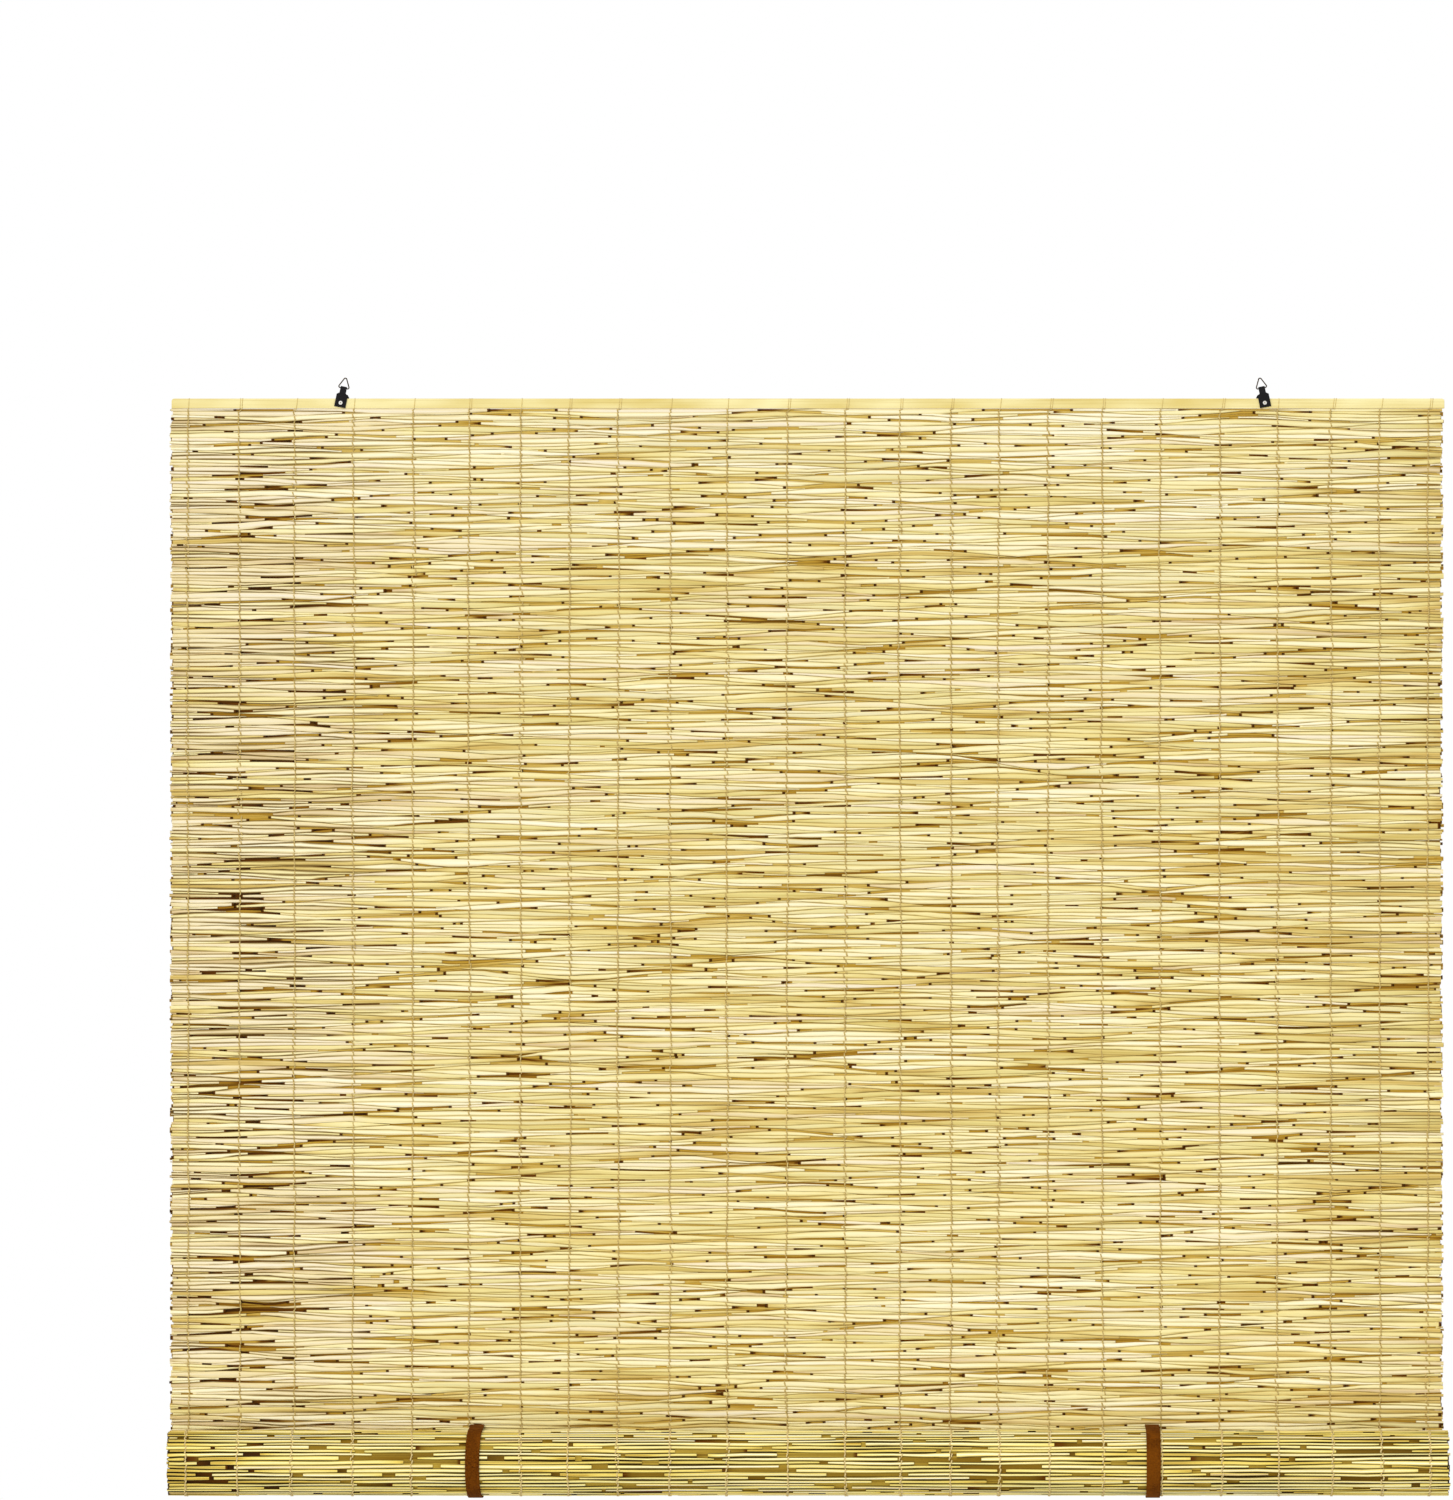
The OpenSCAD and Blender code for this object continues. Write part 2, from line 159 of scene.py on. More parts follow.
class ReedLayer:
    """One layer of the flat mat: where its reeds begin and end, and how its rows share the room."""

    def __init__(self, seed, whole_from, inset=0):
        self.chance = random.Random(seed)
        self.inset = inset
        self.reeds = []
        self.hollows = []
        self.near_ends = []
        self.wander = [0, 0]
        self.share = np.ones((row_total, len(grid_x)))
        for row in range(row_total):
            self.fill_row(row, row >= whole_from)
        room = np.maximum(smooth_rows(self.share, "even"), least_room)
        stacked = np.cumsum(self.share, axis=0) - self.share / 2
        stray = (stacked - smooth_rows(stacked, "odd")) / room
        self.height = row_pitch * self.share / room
        self.middle = row_pitch * (np.arange(row_total)[:, None] + 0.5 + stray)
        self.middle = np.maximum(self.middle, self.height / 2)

    def fill_row(self, row, whole):
        """Lays a row from its left edge to its right one, whole or with gaps between its reeds."""
        chance = self.chance
        rolled = row >= hanging_rows
        if rolled and int((row + 1) * rolled_row_share) == int(row * rolled_row_share):
            self.share[row] = 0
            return
        self.wander = [edge_memory * w + edge_drift * chance.uniform(-1, 1) for w in self.wander]
        left, right = roll_overhang if rolled else mat_overhang
        start = self.inset - half_width - left + self.wander[0] + ragged * chance.uniform(-1, 1)
        edge = half_width + right - self.inset + self.wander[1] + ragged * chance.uniform(-1, 1)
        start_blunt = True
        ends = []
        cut = chance.random() < cut_reed_share
        end = self.free_place(start, cut_reed_lengths if cut else reed_lengths)
        while end < edge - shortest_reed and not whole:
            end_blunt = rolled or chance.random() < blunt_end_share
            self.add_reed(row, start, end, start_blunt, end_blunt)
            start_blunt = rolled or not end_blunt or chance.random() < blunt_start_share
            short = chance.random() < (rolled_short_gap_share if rolled else short_gap_share)
            start = self.free_place(end, short_gaps if short else long_gaps)
            self.close_up(row, end, start, end_blunt, start_blunt)
            self.hollows.append((row, end, min(start, edge), end_blunt, start_blunt and start < edge))
            ends += [end, start]
            end = self.free_place(start, reed_lengths)
        if start < edge - shortest_reed:
            self.add_reed(row, start, edge, start_blunt, True)
        self.near_ends = [*self.near_ends, ends][-2:]

    def free_place(self, place, lengths):
        """The next end in a row, clear of the ends in the two rows above where there is room."""
        for _ in range(placing_tries):
            found = place + self.chance.uniform(*lengths)
            if all(abs(found - end) > end_spacing for ends in self.near_ends for end in ends):
                break
        return found

    def add_reed(self, row, start, end, start_blunt, end_blunt):
        """A reed, which is stouter or slimmer than its neighbours, by another measure at each end."""
        self.reeds.append((row, start, end, start_blunt, end_blunt))
        spread = girth_spread if row < hanging_rows else rolled_girth_spread
        girths = [self.chance.uniform(-spread, spread) for _ in range(2)]
        places = (start - girth_fade, start, end, end + girth_fade)
        self.share[row] *= 1 + np.interp(grid_x, places, (0, *girths, 0))

    def close_up(self, row, end, start, end_blunt, start_blunt):
        """Thins the row towards a reed's end and the next one's start, and shuts it between them."""
        def shut(past, blunt):
            if row >= hanging_rows:
                return np.interp(past, (-rolled_taper, 0), (1, rolled_end_height))
            taper = self.chance.uniform(*taper_lengths)
            wedge = self.chance.choice(wedge_lengths) * self.chance.uniform(*wedge_stretch)
            height = blunt_end_height if blunt else thin_end_height
            return np.interp(past, (-taper, 0, 0.6 * wedge, wedge), (1, height, 0.8 * height, 0))
        self.share[row] *= np.maximum(shut(grid_x - end, end_blunt), shut(start - grid_x, start_blunt))

    def look_up(self, field, rows, x):
        """The layer's height or middle in some rows at some places across the mat."""
        step = np.clip((x - grid_x[0]) / grid_step, 0, last_grid_step)
        low = step.astype(int)
        part = step - low
        return field[rows, low] * (1 - part) + field[rows, low + 1] * part

    def crossings(self, x):
        """Where the reeds that reach this line across the mat lie along it, from the top down."""
        rows = np.array(sorted(row for row, start, end, *_ in self.reeds if start <= x <= end))
        return self.look_up(self.middle, rows, np.full(len(rows), x))


front_rows_past_bend = 6
middle_inset = 0.007
front_layer = ReedLayer(seed=3, whole_from=hanging_rows + front_rows_past_bend)
back_layer = ReedLayer(seed=8, whole_from=hanging_rows + outer_turn_rows)
middle_layer = ReedLayer(seed=5, whole_from=0, inset=middle_inset)


def finished_mesh(name, shape):
    """The mesh of a bmesh that is finished with."""
    mesh = bpy.data.meshes.new(name)
    shape.to_mesh(mesh)
    shape.free()
    return mesh


pith_inset = 0.35


def reed_shape(sides, rings, pith):
    """A plain length of reed: a tube from 0 to 1 of radius 1, with its pith inset where its ends show."""
    shape = bmesh.new()
    bmesh.ops.create_cone(
        shape, cap_ends=True, segments=sides, radius1=1, radius2=1, depth=1,
        matrix=Matrix.Translation((0.5, 0, 0)) @ Matrix.Rotation(math.pi / 2, 4, "Y"))
    lengthwise = [e for e in shape.edges if abs(e.verts[0].co.x - e.verts[1].co.x) > 0.5]
    bmesh.ops.subdivide_edges(shape, edges=lengthwise, cuts=rings - 1)
    if pith:
        ends = [f for f in shape.faces if abs(f.normal.x) > 0.9]
        bmesh.ops.inset_individual(shape, faces=ends, thickness=pith_inset)
    bmesh.ops.recalc_face_normals(shape, faces=shape.faces)
    return finished_mesh("reed_shape", shape)


def rises(value, start, width):
    """0 up to start and 1 past the width, which is negative where the rise is towards lower values."""
    return np.clip((value - start) / width, 0, 1)


browning = 0.1
browner_side = (0.35, 0.2)
bleaching = 0.24
bleached_top = (0.19, -0.1)
greyed_side = (-0.42, -0.12)
weathered_roll_end = (-0.6, -0.08)


def shelter(x, along):
    """How much darker the reeds are: the top of the mat is bleached, and its right side is browner."""
    return browning * rises(x, *browner_side) - bleaching * rises(along, *bleached_top)


tip_length = 0.0042
tip_swell = 2
tip_height = 0.0013
full_half_height = 0.0021
outer_half_depth = 0.0017
middle_half_depth = 0.0008
layer_out = 0.00122
out_stray = 0.0002
rolled_fill = (0.8, 0.97)
edge_from = half_width - 3 * ragged
pale_tip_share = 0.35
pale_edge_tip_share = 0.98
pale_tip_shade = 0.2
reed_tones = (2, 2.2)
fade_along = 0.6
end_browning = (0.05, 0.45)
end_browning_length = 0.025
pith_within = 0.8


def place_reeds(layer, side, reeds, shape, rings, draw):
    """Where the points of some reeds of one shape lie, and what their material reads."""
    count = len(reeds)
    row, start, end, start_blunt, end_blunt = (np.array(column)[:, None] for column in zip(*reeds))
    ring, around, level = np.array([v.co for v in shape.vertices]).T
    turned = (side or 1) * np.sign(around[np.argmax(np.abs(around))])
    around, level = around * turned, level * turned
    length = end - start
    tip_share = np.minimum(tip_length, length / 3)
    step = np.round(ring * rings)
    from_start = tip_share + np.clip((step - 1) / (rings - 2), 0, 1) * (length - 2 * tip_share)
    from_start = np.where(step == 0, 0, np.where(step == rings, length, from_start))
    from_end = np.minimum(from_start, length - from_start)
    x = start + from_start
    rolled = row >= hanging_rows
    plain = ~(rolled | (np.abs(x) > edge_from))
    second_half = step > rings / 2
    blunt = np.where(second_half, end_blunt, start_blunt)
    tip = np.clip(1 - from_end / tip_share, 0, 1)
    swell = 1 + tip_swell * tip * blunt * plain
    fill = np.where(rolled, draw.uniform(*rolled_fill, (count, 1)), 1.0)
    grid_rows = row + np.zeros(x.shape, int)
    half_height = layer.look_up(layer.height, grid_rows, x) / 2 * fill
    half_height = np.maximum(half_height, np.minimum(half_height * swell, tip_height))
    along = layer.look_up(layer.middle, grid_rows, x) + level * half_height
    half_depth = outer_half_depth if side else middle_half_depth
    out = side * layer_out + around * half_depth * np.sqrt(half_height / full_half_height)
    out += draw.uniform(-out_stray, out_stray, (count, 1))

    # Blunt ends get painted shade in their open end; most ends near the mat's sides and in the roll stay
    # pale.
    dark_tip = np.where(second_half, draw.random((count, 1)), draw.random((count, 1)))
    pale_share = np.where(plain, pale_tip_share, pale_edge_tip_share)
    end_shade = blunt * np.where(dark_tip > pale_share, 1, pale_tip_shade * plain)
    fade = draw.uniform(-fade_along, fade_along, (count, 1)) * (from_start / length - 0.5)
    browned = draw.uniform(*end_browning, (count, 1)) * np.exp(-from_end / end_browning_length)
    greyed = rises(x, *greyed_side) * ~rolled
    weathered = rises(x, *weathered_roll_end) * rolled
    tone = draw.beta(*reed_tones, (count, 1)) + fade + browned + 0.05 * greyed + 0.45 * weathered
    tone = tone + shelter(x, along)
    hue = draw.random((count, 1)) + 0.5 * greyed
    # Depth rises over the inward half of each reed, where the material paints shade; the middle reeds and
    # the piths of the ends take the full painted shade.
    depth = (1 - side * around) / 2 if side else np.ones(len(ring))
    depth = np.where(around**2 + level**2 < pith_within, 1, depth) + 0 * x
    return [lay(x, along, out).reshape(-1, 3), *(v.ravel() for v in (tone, hue, tip * end_shade, depth))]


def hollow_shape():
    """A flat strip from 0 to 1, with more rings towards its ends."""
    shape = bmesh.new()
    bmesh.ops.create_grid(shape, x_segments=6, y_segments=1, size=1,
                          matrix=Matrix.Rotation(math.pi / 2, 4, "X"))
    for vertex in shape.verts:
        vertex.co.x = 0.5 + 0.5 * math.sin(vertex.co.x * math.pi / 2)
    return finished_mesh("hollow_shape", shape)


hollow_out = 0.0009
hollow_half_height = 0.0011
hollow_fill = 0.4
hollow_fill_at_end = 0.25
rolled_hollow_fill = 0.65
hollow_tones = (1.3, 2.6)
hollow_fade = 0.25
bold_side = (-0.5, -0.09)
streak_lengths = (0.004, 0.008, 0.016, 0.04)
bold_stretch = 2.4
streak_share = 0.32
bold_streak_share = 0.7
rolled_streak_gap = 0.03
rolled_streak_side = -0.6


def place_hollows(layer, side, hollows, shape, draw):
    """A strip in the sunken part of a row past the reeds' ends, coloured with painted shade: dark beside
    a blunt end and golden further on.
    """
    row, start, end, start_blunt, end_blunt = (np.array(column)[:, None] for column in zip(*hollows))
    share, _, level = np.array([v.co for v in shape.vertices]).T
    x = start + (end - start) * share
    hanging = row < hanging_rows
    bold = draw.random(row.shape) < rises(start, *bold_side)
    reach = draw.choice(streak_lengths, row.shape) * np.where(bold, bold_stretch, 1)
    # Painted shadow in the hollow beside a blunt end, fading along it.
    after = start_blunt & ((draw.random(row.shape) < 0.5) | ~end_blunt)
    fade = np.where(after, np.exp((start - x) / reach), np.exp((x - end) / reach))
    streaked = draw.random(row.shape) < np.where(bold, bold_streak_share, streak_share)
    dark = fade * (start_blunt | end_blunt) * streaked
    dark = dark * (hanging | (end - start > rolled_streak_gap) | (start < rolled_streak_side))
    grid_rows = row + np.zeros(x.shape, int)
    height = layer.look_up(layer.height, grid_rows, x)
    fill = np.where(hanging, hollow_fill + hollow_fill_at_end * fade, rolled_hollow_fill)
    half_height = fill * height
    half_height = np.where(hanging, np.minimum(half_height, hollow_half_height), half_height)
    along = layer.look_up(layer.middle, grid_rows, x) + level * half_height
    tone = draw.beta(*hollow_tones, row.shape) + 0.4 * dark + 0.22 * bold + shelter(x, along)
    tone = tone + draw.uniform(-hollow_fade, hollow_fade, row.shape) * (share - 0.5)
    tip = (0.45 + 0.45 * bold) * dark
    points = lay(x, along, side * hollow_out).reshape(-1, 3)
    return [points, tone.ravel(), np.zeros(x.size), tip.ravel(), np.ones(x.size)]


def add_piece(name, mesh, node):
    """Links a finished mesh as a piece that rides on the blind and stands for a CAD node."""
    piece = put_in_scene(name, mesh)
    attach(piece, "blind")
    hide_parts(node)
    return piece


def make_reeds(name, layer, side, rows, sides, rings, node, seed, hollows=False):
    """Some rows of one layer as one mesh. Side is -1 on the front, 1 on the back and 0 between them."""
    draw = np.random.default_rng(seed)
    stack = bmesh.new()
    placed = []
    for pith in (False, True):
        shape = reed_shape(sides, rings, pith)
        reeds = [r for r in layer.reeds if r[0] in rows and (max(-r[1], r[2]) > edge_from) == pith]
        for _ in reeds:
            stack.from_mesh(shape)
        if reeds:
            placed.append(place_reeds(layer, side, reeds, shape, rings, draw))
    if hollows:
        shape = hollow_shape()
        found = [h for h in layer.hollows if h[0] in rows]
        for _ in found:
            stack.from_mesh(shape)
        placed.append(place_hollows(layer, side, found, shape, draw))
    mesh = finished_mesh(name, stack)
    points, *values = (np.concatenate(part) for part in zip(*placed))
    mesh.vertices.foreach_set("co", points.astype(np.float32).ravel())
    mesh.polygons.foreach_set("use_smooth", [True] * len(mesh.polygons))
    mesh.update()
    mesh.set_sharp_from_angle(angle=math.radians(80))
    for attribute, column in zip(("tone", "hue", "tip", "depth"), values):
        point_values = mesh.attributes.new(attribute, "FLOAT", "POINT").data
        point_values.foreach_set("value", column.astype(np.float32))
    return add_piece(name, mesh, node)


class Socket:
    """A socket in a material's tree. Operators on values add Math nodes; make() adds any other node."""

    def __init__(self, tree, socket=None):
        self.tree = tree
        self.socket = socket

    def make(self, kind, settings=None, values=None, out=0):
        node = self.tree.nodes.new("ShaderNode" + kind)
        for name, value in (settings or {}).items():
            if name == "stops":
                while len(node.color_ramp.elements) < len(value):
                    node.color_ramp.elements.new(0.5)
                for stop, (place, shade) in zip(node.color_ramp.elements, value):
                    stop.position, stop.color = place, shade
            else:
                setattr(node, name, value)
        for name, value in (values or {}).items():
            self.feed(node.inputs[name], value)
        return Socket(self.tree, node.outputs[out])

    def feed(self, target, value):
        if isinstance(value, Socket):
            self.tree.links.new(value.socket, target)
        else:
            target.default_value = value

    def sum(self, operation, first, second):
        return self.make("Math", {"operation": operation}, {0: first, 1: second})

    def __add__(self, other):
        return self.sum("ADD", self, other)

    def __radd__(self, other):
        return self.sum("ADD", other, self)

    def __sub__(self, other):
        return self.sum("SUBTRACT", self, other)

    def __rsub__(self, other):
        return self.sum("SUBTRACT", other, self)

    def __mul__(self, other):
        return self.sum("MULTIPLY", self, other)

    def __rmul__(self, other):
        return self.sum("MULTIPLY", other, self)

    def mix(self, first, second):
        """From one colour to another by this value."""
        return self.make("Mix", {"data_type": "RGBA"}, {0: self, 6: first, 7: second}, 2)

    def ramp(self, *stops):
        return self.make("ValToRGB", {"stops": stops}, {"Fac": self})

    def between(self, low, high):
        """0 at low, 1 at high and smooth between."""
        return self.make("MapRange", {"interpolation_type": "SMOOTHSTEP"},
                         {"Value": self, "From Min": low, "From Max": high})


def colour(red, green, blue):
    """A colour as it is seen, from 0 to 255, in the linear numbers that shaders take."""
    shares = [c / 255 for c in (red, green, blue)]
    return (*(s / 12.92 if s <= 0.04045 else ((s + 0.055) / 1.055) ** 2.4 for s in shares), 1)


class Finish:
    """A new material: its shader, its tree and a stretched noise in the piece's own coordinates."""

    def __init__(self, name, **constants):
        self.material = bpy.data.materials.new(name)
        self.material.use_nodes = True
        self.tree = Socket(self.material.node_tree)
        self.shader = self.material.node_tree.nodes["Principled BSDF"]
        self.feed(**constants)
        self.place = self.tree.make("TexCoord", out="Object")

    def attribute(self, name):
        return self.tree.make("Attribute", {"attribute_name": name}, out="Fac")

    def axis(self, letter):
        return self.tree.make("SeparateXYZ", None, {0: self.place}, letter)

    def noise(self, scale, detail=2):
        """Noise with its own number of waves to the metre along each axis."""
        spot = self.tree.make("Mapping", None, {"Vector": self.place, "Scale": scale})
        return self.tree.make("TexNoise", None, {"Vector": spot, "Scale": 1.0, "Detail": detail}, "Fac")

    def feed(self, **values):
        for socket, value in values.items():
            self.tree.feed(self.shader.inputs[socket.replace("_", " ")], value)

    def bump(self, height, distance):
        self.feed(Normal=self.tree.make(
            "Bump", None, {"Height": height, "Distance": distance, "Strength": 1.0}, "Normal"))

    def on(self, *pieces):
        for piece in pieces:
            piece.data.materials.clear()
            piece.data.materials.append(self.material)


def reed_finish(name, stops, shaded_inside_stops, flank_shade, flank_shade_share, valley_shade, valley_shade_share, deeper_valley_shade):
    """Reed skin with painted shade on its flanks and in the lines between the reeds, deeper near the
    mat's sides.
    """
    finish = Finish(name, Specular_IOR_Level=0.06)
    fibre = finish.noise((14, 700, 700), 3)
    stain = finish.noise((7, 190, 190))
    region = finish.noise((2.5, 36, 36))
    tone, hue, tip, depth = (finish.attribute(a) for a in ("tone", "hue", "tip", "depth"))
    skin = (tone + 0.7 * (stain - 0.5) + 0.45 * (region - 0.5)).ramp(*stops)
    skin = (0.45 * hue.between(0.84, 0.92)).mix(skin, colour(236, 218, 200))
    skin = (0.4 * hue.between(0.25, 0.12)).mix(skin, colour(204, 190, 108))
    skin = (0.25 * fibre.between(0.5, 0.8)).mix(skin, colour(216, 186, 110))
    # Painted shade on each reed's flanks, which leaves its crest pale.
    skin = (flank_shade_share * depth.between(0.0, 0.18)).mix(skin, flank_shade)
    across = finish.axis("X")
    near_edges = across.between(-0.4, -0.56) + 0.5 * across.between(0.5, 0.64)
    # The painted shade between the reeds is deeper near the mat's sides.
    edge_shade_mask = stain.between(0.42, 0.6) * near_edges
    # Painted shade in the lines between neighbouring reeds.
    line = (depth + 0.5 * (stain - 0.5)).between(0.14, 0.36)
    skin = (valley_shade_share * line).mix(skin, valley_shade)
    skin = (0.75 * edge_shade_mask * line).mix(skin, deeper_valley_shade)
    # The reeds' inward halves, the middle reeds and the hollow strips take the painted shade of the mat's
    # inside.
    skin = depth.between(0.4, 0.9).mix(skin, tone.ramp(*shaded_inside_stops))
    # Painted shade in the reeds' open ends and beside them in the hollows.
    end_shade = tip.ramp((0.35, colour(98, 54, 0)), (0.9, colour(50, 26, 0)))
    skin = tip.between(0.12, 0.35).mix(skin, end_shade)
    finish.feed(Base_Color=skin, Roughness=0.5 + 0.25 * fibre)
    finish.bump(fibre, 0.0002)
    return finish


mat_stops = (
    (0.0, colour(255, 250, 224)), (0.28, colour(254, 246, 207)), (0.52, colour(250, 240, 184)),
    (0.78, colour(237, 220, 145)), (1.0, colour(206, 174, 90)))
# Painted shade of the mat's inside, from golden to dark brown by tone.
mat_shaded_inside_stops = (
    (0.0, colour(216, 186, 98)), (0.4, colour(186, 146, 50)),
    (0.75, colour(142, 98, 20)), (1.0, colour(78, 46, 0)))
mat_rows = range(hanging_rows)
upper_rows = range(hanging_rows // 2)
lower_rows = range(hanging_rows // 2, hanging_rows)
mat_pieces = [
    make_reeds("front_reeds_upper", front_layer, -1, upper_rows, 5, 11, "hanging_mat", 11, hollows=True),
    make_reeds("front_reeds_lower", front_layer, -1, lower_rows, 5, 11, "hanging_mat", 17, hollows=True),
    make_reeds("middle_reeds", middle_layer, 0, mat_rows, 4, 8, "hanging_mat", 15),
    make_reeds("back_reeds", back_layer, 1, mat_rows, 4, 5, "hanging_mat", 12)]
bleached_reed = reed_finish(
    "sun_bleached_reed", mat_stops, mat_shaded_inside_stops,
    flank_shade=colour(242, 223, 153), flank_shade_share=0.35,
    valley_shade=colour(196, 164, 80), valley_shade_share=0.5, deeper_valley_shade=colour(122, 92, 40))
bleached_reed.on(*mat_pieces)


# Rolled reeds: the same mat, rolled up to the front, so that its back faces out.
# The turns spread the reeds, and painted shade darkens the lines between them and most of their flanks,
# which leaves a painted highlight along each crest; their skin is more golden.
# The roll's stops run nearly to white: they vary with the reed's tone and make the painted highlight
# along each crest.
roll_tone_and_crest_highlight_stops = (
    (0.0, colour(255, 255, 240)), (0.4, colour(255, 255, 214)), (0.7, colour(255, 250, 176)),
    (0.92, colour(240, 214, 102)), (1.0, colour(190, 152, 54)))
roll_shaded_inside_stops = (
    (0.0, colour(184, 154, 58)), (0.5, colour(132, 100, 22)), (1.0, colour(60, 34, 0)))
roll_rows = range(hanging_rows, row_total)
roll_pieces = [
    make_reeds("roll_outer_reeds", back_layer, 1, roll_rows, 5, 10, "mat_roll", 13, hollows=True),
    make_reeds("roll_middle_reeds", middle_layer, 0, roll_rows, 4, 6, "mat_roll", 16),
    make_reeds("roll_inner_reeds", front_layer, -1, roll_rows, 4, 4, "mat_roll", 14)]
golden_reed = reed_finish(
    "golden_reed", roll_tone_and_crest_highlight_stops, roll_shaded_inside_stops,
    flank_shade=colour(250, 222, 110), flank_shade_share=0.85,
    valley_shade=colour(40, 22, 0), valley_shade_share=1.0, deeper_valley_shade=colour(40, 22, 0))
golden_reed.on(*roll_pieces)


# Binding threads: twisted jute, twined in pairs round every row and looped over the head slat.
# The two strands of a line swap sides at each row, so one short dash shows on every reed.
thread_count = 24
thread_edge = 0.018
thread_drift = 0.008
thread_drift_phase = math.radians(145)
thread_radius = 0.0009
thread_out = 0.003
outer_turn_share = 0.85
thread_end = hanging_length + 2 * math.pi * roll_radius * outer_turn_share
strand_memory = 0.95
strand_drift = 0.0005
dash_slant = 0.0004
dash_half = 0.0011


def thread_x(number):
    """Where a thread line runs down the mat. The spacing widens and narrows three times across it."""
    share = (number - 1) / (thread_count - 1)
    wander = math.sin(6 * math.pi * share - thread_drift_phase) + math.sin(thread_drift_phase)
    return (share - 0.5) * 2 * (half_width - thread_edge) + thread_drift * wander


def strand(x, first_side, chance):
    """One strand of a line from the top row down, over one reed and under the next."""
    points = []
    drift = 0
    for number, middle in enumerate(m for m in front_layer.crossings(x) if m < thread_end):
        side = first_side * (1 - 2 * (number % 2))
        drift = strand_memory * drift + chance.uniform(-strand_drift, strand_drift)
        for step in (-1, 1):
            across = x + drift + dash_slant * step
            points.append(lay(across, middle + step * dash_half, side * thread_out))
    return points


loop_leans = (0.001, 0.004)
loop_foot_lean = 0.6
loop_sunk = 0.3
loop_corner = 0.0006
loop_foot_drop = 0.0004
loop_thinning = 0.4
double_loop_share = 0.4
double_loop_step = 0.0022


def over_slat(x, chance):
    """The loop over the head slat, from the front to the back, leaning to one side."""
    lean = chance.uniform(*loop_leans)
    near = loop_sunk * thread_radius
    front, back = slat_low.y - near, slat_high.y + near
    top = slat_high.z + near
    foot = slat_low.z - loop_foot_drop
    foot_x = x + lean * loop_foot_lean
    top_x = x + lean
    turn = [(foot_x, front, foot), (top_x, front, top - loop_corner), (top_x, front + loop_corner, top),
            (top_x, back - loop_corner, top), (top_x, back, top - loop_corner), (foot_x, back, foot)]
    if chance.random() < double_loop_share:
        turn = [(a + double_loop_step, b, c) for a, b, c in turn] + turn
    return turn


thread_pieces = []
loops_above = slat_low.z - 0.001
for number in range(1, thread_count + 1):
    chance = random.Random(100 + number)
    middle_x = thread_x(number)
    path = strand(middle_x, -1, chance)[::-1] + over_slat(middle_x, chance) + strand(middle_x, 1, chance)
    curve = bpy.data.curves.new("thread_path", "CURVE")
    curve.dimensions = "3D"
    curve.bevel_depth = thread_radius
    curve.bevel_resolution = 0
    line = curve.splines.new("POLY")
    line.points.add(len(path) - 1)
    line.points.foreach_set("co", [c for p in path for c in (*p, 1)])
    line.points.foreach_set("radius", [loop_thinning if p[2] > loops_above else 1 for p in path])
    mesh = bpy.data.meshes.new_from_object(bpy.data.objects.new("thread_path", curve))
    thread = add_piece(f"thread_{number:02d}", mesh, f"binding_thread_{number:02d}")
    thread_pieces.append(thread)
jute = Finish("twisted_jute", Specular_IOR_Level=0.2, Roughness=0.85)
twist = jute.noise((900, 900, 900))
height = jute.axis("Z")
skin = twist.ramp((0.3, colour(156, 129, 62)), (0.7, colour(238, 212, 140)))
skin = (0.6 * height.between(roll_z + 0.04, roll_z + 0.03)).mix(skin, colour(232, 210, 150))
skin = (0.5 * height.between(loops_above, slat_low.z)).mix(skin, colour(236, 214, 142))
jute.feed(Base_Color=skin)
jute.bump(twist, 0.0003)
jute.on(*thread_pieces)


# Head slat: one split bamboo slat with rounded upper corners, planed flat and left bare.
# The binding threads loop over it and the hanger tags are riveted through it.
slat_corner = 0.003
slat_edge = 0.0006
slat_middle = (slat_low + slat_high) / 2
slat_size = slat_high - slat_low


def round_edges(shape, edges, radius, segments):
    """Rounds some edges of a bmesh."""
    bmesh.ops.bevel(shape, geom=edges, offset=radius, offset_type="OFFSET", affect="EDGES",
                    segments=segments, profile=0.5, material=-1)


slat = bmesh.new()
bmesh.ops.create_cube(
    slat, size=1, matrix=Matrix.Translation(slat_middle) @ Matrix.Diagonal((*slat_size, 1)))
upper_edges = [e for e in slat.edges if all(v.co.z > slat_middle.z for v in e.verts)]
corners = [e for e in upper_edges if abs(e.verts[0].co.x - e.verts[1].co.x) < slat_size.x / 2]
round_edges(slat, corners, slat_corner, 5)
round_edges(slat, list(slat.edges), slat_edge, 2)
head_slat = add_piece("bamboo_slat", finished_mesh("bamboo_slat", slat), "head_slat")
bamboo = Finish("split_bamboo", Specular_IOR_Level=0.35)
grain = bamboo.noise((6, 900, 900), 3)
patch = bamboo.noise((9, 30, 30))
skin = patch.ramp((0.32, colour(222, 198, 110)), (0.68, colour(248, 236, 174)))
skin = (0.5 * grain.between(0.5, 0.72)).mix(skin, colour(204, 178, 96))
bamboo.feed(Base_Color=skin, Roughness=0.45 + 0.2 * grain)
bamboo.bump(grain, 0.0002)
bamboo.on(head_slat)


